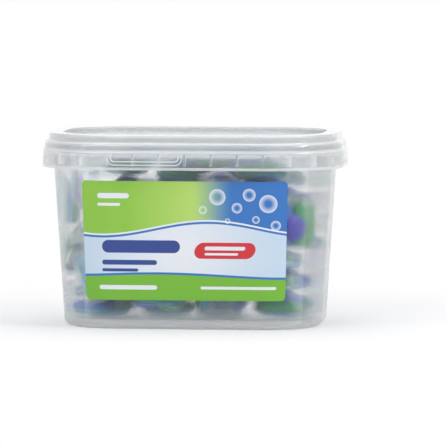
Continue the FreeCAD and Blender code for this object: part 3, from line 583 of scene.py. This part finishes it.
def pod_pose(triangles, settings):
    """Where a pod lies: its own X, Y and Z and the middle of its film edge, read from its solid."""
    edge_a = triangles[:, 1] - triangles[:, 0]
    edge_b = triangles[:, 2] - triangles[:, 0]
    cross = np.cross(edge_a, edge_b)
    doubled = np.linalg.norm(cross, axis=1)
    solid = doubled > SLIVER
    normals = cross[solid] / doubled[solid, None]
    areas = doubled[solid] / 2
    middles = triangles[solid].mean(axis=1)
    centre = (middles * areas[:, None]).sum(axis=0) / areas.sum()
    spread = ((middles - centre) * areas[:, None]).T @ (middles - centre)
    axes = np.linalg.eigh(spread)[1]
    up = commonest_normal(normals, areas, axes[:, 0])
    points = triangles.reshape(-1, 3)
    heights = (points - centre) @ up
    if heights.max() < -heights.min():
        up = -up
    right = commonest_normal(normals, areas, axes[:, 2], up)
    forward = np.cross(up, right)
    top = (points @ up).max()
    crown = points[points @ up > top - CROWN_BAND].mean(axis=0)
    low, high = (points @ forward).min(), (points @ forward).max()
    if crown @ forward > (low + high) / 2:
        right, forward = -right, -forward
    spans = [((points @ axis).min() + (points @ axis).max()) / 2 for axis in (right, forward)]
    place = right * spans[0] + forward * spans[1] + up * (top - settings.dome_height)
    matrix = Matrix([(*row,) for row in np.column_stack([right, forward, up, place])])
    matrix.resize_4x4()
    return matrix


class BuildPods(bpy.types.Operator):
    """Puts a detailed gel pod where each pod of the frame lies"""
    bl_idname = "pod_tub.build_pods"
    bl_label = "Build Pods"

    def execute(self, context):
        settings = context.scene.tub_pods
        materials = {colour: gel(f"gel_{colour}_in_film", getattr(settings, colour)) for colour in GELS}
        materials["film"] = soluble_film("soluble_film_sealed")
        master = model_pod(settings, materials)
        for name in POD_NODES:
            copies = []
            for triangles in solids_of(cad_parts[name]):
                mesh = master.data.copy()
                mesh.transform(pod_pose(triangles, settings))
                copies.append(bpy.data.objects.new(name + "_gel", mesh))
                context.collection.objects.link(copies[-1])
            bpy.ops.object.select_all(action="DESELECT")
            for copy in copies:
                copy.select_set(True)
            context.view_layer.objects.active = copies[0]
            if len(copies) > 1:
                bpy.ops.object.join()
            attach(copies[0], "tub_body")
            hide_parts(name)
        bpy.data.objects.remove(master)
        return {"FINISHED"}


# Label

# Places on the label are millimetres across from the tub's middle and up from the table
PAPER, PALE_LIME = srgb("#eceff5"), srgb("#b9dc6a")
PALE_MIDDLE, PALE_REACH = (-4.0, 0.0, 52.0), (10.0, 66.0)    # where the ground is white, and its fade
LIME_FADE, BLUE_FADE = (-42.0, 6.0), (2.0, 34.0)    # from lime to pale lime to blue, across
UPPER_WAVE = (5.0, 150.0, 0.9)    # rise, length and shift of the upper field's lower edge
UPPER_BLUE, UPPER_WHITE, UPPER_FIELD = 68.5, 70.0, 71.2    # a blue and a white line, and the field
FOOT_WAVE = (1.6, 190.0, 2.2)
FOOT_BLUE, FOOT_LEAF = 38.2, 36.6    # a blue line, and the green foot
INK_EDGE = 0.12    # half of the softness of a printed edge
BUBBLE_CLEAR, BUBBLE_WHITE = 0.35, 0.85    # share of the radius that is clear, and of white at the rim
RIPPLE_WIDTH, RIPPLE_DEPTH = 18.0 * MM, 0.5 * MM
BUBBLES = (
    # place across and up, and radius
    (22.0, 92.0, 5.6), (35.5, 84.5, 3.6), (44.0, 93.5, 4.4), (57.0, 87.5, 6.2),
    (48.5, 76.5, 2.6), (12.0, 83.0, 2.8), (62.0, 72.5, 3.4), (29.0, 75.5, 1.9),
)
BARS = (
    # ink, middle across and up, half length, half height, slant
    ("navy", -31.0, 57.5, 27.0, 4.4, 0.0), ("navy", -39.0, 46.5, 19.0, 1.7, 0.0),
    ("navy", -45.5, 41.2, 12.5, 1.1, 0.0), ("red", 27.0, 55.0, 21.0, 5.6, 0.22),
    ("paper", 27.0, 56.6, 14.0, 1.3, 0.22), ("paper", 24.5, 52.6, 11.5, 0.8, 0.22),
    ("paper", -40.0, 29.2, 20.0, 1.5, 0.0), ("paper", 36.0, 29.2, 26.0, 1.0, 0.0),
    ("paper", -50.0, 92.5, 11.0, 1.8, 0.0), ("paper", -53.0, 86.5, 8.0, 1.0, 0.0),
)


def inked(tree, colour, ink, distance):
    """Lays an ink over a colour wherever a distance is negative."""
    inside = add_node(tree, "ShaderNodeMapRange", inputs={
        "Value": distance, "From Min": -INK_EDGE, "From Max": INK_EDGE, "To Min": 1.0, "To Max": 0.0})
    return add_node(tree, "ShaderNodeMix", {"data_type": "RGBA"}, {
        0: inside.outputs["Result"], 6: colour, 7: ink}).outputs[2]


def pill(tree, plan, across, up, half_length, half_height, slant):
    """Distance outside a round-ended bar that leans to the right."""
    moved = add_node(tree, "ShaderNodeVectorMath", {"operation": "SUBTRACT"}, {
        0: plan, 1: (across, 0.0, up)})
    parts = add_node(tree, "ShaderNodeSeparateXYZ", inputs={0: moved.outputs[0]})
    leaned = add_node(tree, "ShaderNodeMath", {"operation": "MULTIPLY_ADD"}, {
        0: parts.outputs["Z"], 1: -slant, 2: parts.outputs["X"]})
    size_x = add_node(tree, "ShaderNodeMath", {"operation": "ABSOLUTE"}, {0: leaned.outputs[0]})
    over = add_node(tree, "ShaderNodeMath", {"operation": "SUBTRACT"}, {
        0: size_x.outputs[0], 1: half_length - half_height})
    over = add_node(tree, "ShaderNodeMath", {"operation": "MAXIMUM"}, {0: over.outputs[0], 1: 0.0})
    joined = add_node(tree, "ShaderNodeCombineXYZ", inputs={0: over.outputs[0], 1: parts.outputs["Z"]})
    length = add_node(tree, "ShaderNodeVectorMath", {"operation": "LENGTH"}, {0: joined.outputs[0]})
    return add_node(tree, "ShaderNodeMath", {"operation": "SUBTRACT"}, {
        0: length.outputs["Value"], 1: half_height}).outputs[0]


def wave(tree, parts, height, rise, length, shift):
    """How far a point is below a wavy line across the label, negative above the line."""
    phase = add_node(tree, "ShaderNodeMath", {"operation": "MULTIPLY_ADD"}, {
        0: parts.outputs["X"], 1: 2 * math.pi / length, 2: shift})
    swing = add_node(tree, "ShaderNodeMath", {"operation": "SINE"}, {0: phase.outputs[0]})
    line = add_node(tree, "ShaderNodeMath", {"operation": "MULTIPLY_ADD"}, {
        0: swing.outputs[0], 1: rise, 2: height})
    return add_node(tree, "ShaderNodeMath", {"operation": "SUBTRACT"}, {
        0: line.outputs[0], 1: parts.outputs["Z"]}).outputs[0]


def printed_film(inks):
    """Polypropylene label film, gravure printed and varnished: flat bright inks with crisp edges
    and an even satin gloss, with the slight ripple of film on a moulded wall."""
    material, tree, output = new_material("printed_film_varnished")
    coords = add_node(tree, "ShaderNodeTexCoord")
    scaled = add_node(tree, "ShaderNodeVectorMath", {"operation": "SCALE"}, {
        0: coords.outputs["Object"], "Scale": 1 / MM})
    flat = add_node(tree, "ShaderNodeVectorMath", {"operation": "MULTIPLY"}, {
        0: scaled.outputs[0], 1: (1.0, 0.0, 1.0)})
    plan = flat.outputs[0]
    parts = add_node(tree, "ShaderNodeSeparateXYZ", inputs={0: plan})

    away = add_node(tree, "ShaderNodeVectorMath", {"operation": "DISTANCE"}, {0: plan, 1: PALE_MIDDLE})
    fade = add_node(tree, "ShaderNodeMapRange", inputs={
        "Value": away.outputs["Value"], "From Min": PALE_REACH[0], "From Max": PALE_REACH[1]})
    colour = add_node(tree, "ShaderNodeMix", {"data_type": "RGBA"}, {
        0: fade.outputs["Result"], 6: PAPER, 7: inks["sky"]}).outputs[2]

    across = add_node(tree, "ShaderNodeMapRange", inputs={
        "Value": parts.outputs["X"], "From Min": LIME_FADE[0], "From Max": LIME_FADE[1]})
    band = add_node(tree, "ShaderNodeMix", {"data_type": "RGBA"}, {
        0: across.outputs["Result"], 6: inks["lime"], 7: PALE_LIME}).outputs[2]
    across = add_node(tree, "ShaderNodeMapRange", {"interpolation_type": "SMOOTHSTEP"}, {
        "Value": parts.outputs["X"], "From Min": BLUE_FADE[0], "From Max": BLUE_FADE[1]})
    band = add_node(tree, "ShaderNodeMix", {"data_type": "RGBA"}, {
        0: across.outputs["Result"], 6: band, 7: inks["blue"]}).outputs[2]
    for ink, height in ((inks["blue"], UPPER_BLUE), (PAPER, UPPER_WHITE), (band, UPPER_FIELD)):
        colour = inked(tree, colour, ink, wave(tree, parts, height, *UPPER_WAVE))
    for ink, height in ((inks["blue"], FOOT_BLUE), (inks["leaf"], FOOT_LEAF)):
        colour = inked(tree, colour, ink, wave_under(tree, parts, height))

    for across_at, up_at, radius in BUBBLES:
        away = add_node(tree, "ShaderNodeVectorMath", {"operation": "DISTANCE"}, {
            0: plan, 1: (across_at, 0.0, up_at)})
        rim = add_node(tree, "ShaderNodeMapRange", inputs={
            "Value": away.outputs["Value"], "From Min": BUBBLE_CLEAR * radius, "From Max": radius,
            "To Min": 0.0, "To Max": BUBBLE_WHITE})
        inside = add_node(tree, "ShaderNodeMath", {"operation": "LESS_THAN"}, {
            0: away.outputs["Value"], 1: radius})
        share = add_node(tree, "ShaderNodeMath", {"operation": "MULTIPLY"}, {
            0: rim.outputs["Result"], 1: inside.outputs[0]})
        colour = add_node(tree, "ShaderNodeMix", {"data_type": "RGBA"}, {
            0: share.outputs[0], 6: colour, 7: PAPER}).outputs[2]
    for ink, *shape in BARS:
        colour = inked(tree, colour, inks.get(ink, PAPER), pill(tree, plan, *shape))

    ripple = add_node(tree, "ShaderNodeTexNoise", inputs={
        "Vector": coords.outputs["Object"], "Scale": 1 / RIPPLE_WIDTH, "Detail": 1.5})
    bump = add_node(tree, "ShaderNodeBump", inputs={
        "Height": ripple.outputs["Fac"], "Strength": 0.25, "Distance": RIPPLE_DEPTH})
    shader = add_node(tree, "ShaderNodeBsdfPrincipled", inputs={
        "Base Color": colour, "Roughness": 0.42, "IOR": 1.49,
        "Coat Weight": 0.35, "Coat Roughness": 0.2, "Normal": bump.outputs["Normal"]})
    tree.links.new(shader.outputs["BSDF"], output.inputs["Surface"])
    return material


def wave_under(tree, parts, height):
    """How far a point is above a nearly level line near the label's foot, negative below it."""
    below = wave(tree, parts, height, *FOOT_WAVE)
    return add_node(tree, "ShaderNodeMath", {"operation": "MULTIPLY"}, {0: below, 1: -1.0}).outputs[0]


class FinishLabel(bpy.types.Operator):
    """Prints the film on the front wall"""
    bl_idname = "pod_tub.finish_label"
    bl_label = "Finish Label"

    def execute(self, context):
        label = context.scene.tub_label
        inks = {ink: getattr(label, ink) for ink in INKS}
        give_material(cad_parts["front_label"], printed_film(inks))
        return {"FINISHED"}


# Stage

LAMPS = (
    # name, place and size in metres, power in watts
    ("key", (-0.9, -1.0, 1.1), 0.7, 6.0),
    ("fill", (1.15, -0.45, 0.75), 0.35, 6.5),
    ("top", (0.0, 0.2, 1.3), 1.2, 9.5),
    ("sparkle", (-0.29, -1.2, 0.95), 0.06, 2.4),
)
LAMP_AIM = (0.0, 0.0, 0.07)
SENSOR_WIDTH = 36.0    # millimetres
FAR_CLIP = 50.0
SWEEP_WIDTH = 8.0
SHADE_REACH = (0.13, 0.34)    # metres from the tub's middle between which the floor's shade ends
SHADE_WHITE = 0.38    # share of plain white in the floor inside that


def looked_at(tree):
    """1 for rays that see a surface, straight, mirrored or through plastic, and 0 for its light."""
    paths = add_node(tree, "ShaderNodeLightPath")
    seen = paths.outputs["Is Camera Ray"]
    for way in ("Is Glossy Ray", "Is Transmission Ray"):
        seen = add_node(tree, "ShaderNodeMath", {"operation": "MAXIMUM"}, {
            0: seen, 1: paths.outputs[way]}).outputs[0]
    return seen


def paper_sweep():
    """Matt white paper, uncoated: it has no gloss, takes the tub's soft shade and turns plain
    white farther out."""
    material, tree, output = new_material("matt_paper_sweep")
    coords = add_node(tree, "ShaderNodeTexCoord")
    distance = add_node(tree, "ShaderNodeVectorMath", {"operation": "LENGTH"}, {
        0: coords.outputs["Object"]})
    far = add_node(tree, "ShaderNodeMapRange", inputs={
        "Value": distance.outputs["Value"], "From Min": SHADE_REACH[0], "From Max": SHADE_REACH[1],
        "To Min": SHADE_WHITE})
    paper = add_node(tree, "ShaderNodeBsdfDiffuse", inputs={"Color": srgb("#f4f4f7")})
    glow = add_node(tree, "ShaderNodeEmission", inputs={"Color": (1, 1, 1, 1), "Strength": 1.0})
    lift = add_node(tree, "ShaderNodeMixShader", inputs={
        0: far.outputs[0], 1: paper.outputs[0], 2: glow.outputs[0]})
    surface = add_node(tree, "ShaderNodeMixShader", inputs={
        0: looked_at(tree), 1: paper.outputs[0], 2: lift.outputs[0]})
    tree.links.new(surface.outputs[0], output.inputs["Surface"])
    return material


class SetStage(bpy.types.Operator):
    """Sets the camera, the floor, the lamps and the pale surroundings"""
    bl_idname = "pod_tub.set_stage"
    bl_label = "Set Stage"

    def execute(self, context):
        stage = context.scene.tub_stage
        camera_data = bpy.data.cameras.new("camera")
        camera_data.lens = stage.lens
        camera_data.sensor_width = SENSOR_WIDTH
        camera_data.clip_end = FAR_CLIP
        camera = bpy.data.objects.new("camera", camera_data)
        camera.location = stage.camera_place
        camera.rotation_euler = (math.pi / 2 - stage.camera_dip, 0, stage.camera_turn)
        context.collection.objects.link(camera)
        context.scene.camera = camera

        for name, place, size, power in LAMPS:
            lamp_data = bpy.data.lights.new(name, "AREA")
            lamp_data.size = size
            lamp_data.energy = power
            lamp = bpy.data.objects.new(name, lamp_data)
            lamp.location = place
            aim = Vector(LAMP_AIM) - Vector(place)
            lamp.rotation_euler = aim.to_track_quat("-Z", "Y").to_euler()
            context.collection.objects.link(lamp)

        world = bpy.data.worlds.new("surroundings")
        context.scene.world = world
        world.use_nodes = True
        tree = world.node_tree
        tree.nodes.clear()
        soft = add_node(tree, "ShaderNodeBackground", inputs={
            "Color": srgb("#f1f3f6"), "Strength": stage.ambient})
        white = add_node(tree, "ShaderNodeBackground", inputs={"Strength": 1.0, "Color": (1, 1, 1, 1)})
        mix = add_node(tree, "ShaderNodeMixShader", inputs={
            0: looked_at(tree), 1: soft.outputs[0], 2: white.outputs[0]})
        add_node(tree, "ShaderNodeOutputWorld", inputs={"Surface": mix.outputs[0]})

        bpy.ops.object.select_all(action="DESELECT")
        bpy.ops.mesh.primitive_plane_add(size=SWEEP_WIDTH, location=(0, 0, 0))
        floor = context.object
        floor.name = "floor"
        floor.data.materials.append(paper_sweep())
        context.scene.view_settings.view_transform = "Standard"
        return {"FINISHED"}


class TubPanel(bpy.types.Panel):
    """Lists the steps and their settings"""
    bl_idname = "VIEW3D_PT_pod_tub"
    bl_label = "Pod Tub"
    bl_space_type = "VIEW_3D"
    bl_region_type = "UI"
    bl_category = "Pod Tub"

    def draw(self, context):
        layout = self.layout
        for operator in OPERATORS:
            layout.operator(operator.bl_idname)
        for key, group in SETTINGS.items():
            box = layout.box()
            for prop in group.__annotations__:
                box.prop(getattr(context.scene, key), prop)


SETTINGS = {
    "tub_plastic": PlasticSettings,
    "tub_label": LabelSettings,
    "tub_pods": PodSettings,
    "tub_stage": StageSettings,
}
OPERATORS = (FinishTub, FinishLid, BuildPods, FinishLabel, SetStage)
CLASSES = (*SETTINGS.values(), *OPERATORS, TubPanel)


def register():
    for cls in CLASSES:
        bpy.utils.register_class(cls)
    for key, group in SETTINGS.items():
        setattr(bpy.types.Scene, key, bpy.props.PointerProperty(type=group))


def unregister():
    for key in SETTINGS:
        delattr(bpy.types.Scene, key)
    for cls in reversed(CLASSES):
        bpy.utils.unregister_class(cls)


def main():
    register()
    bpy.ops.pod_tub.finish_tub()
    bpy.ops.pod_tub.finish_lid()
    bpy.ops.pod_tub.build_pods()
    bpy.ops.pod_tub.finish_label()
    bpy.ops.pod_tub.set_stage()


if __name__ == "__main__":
    main()
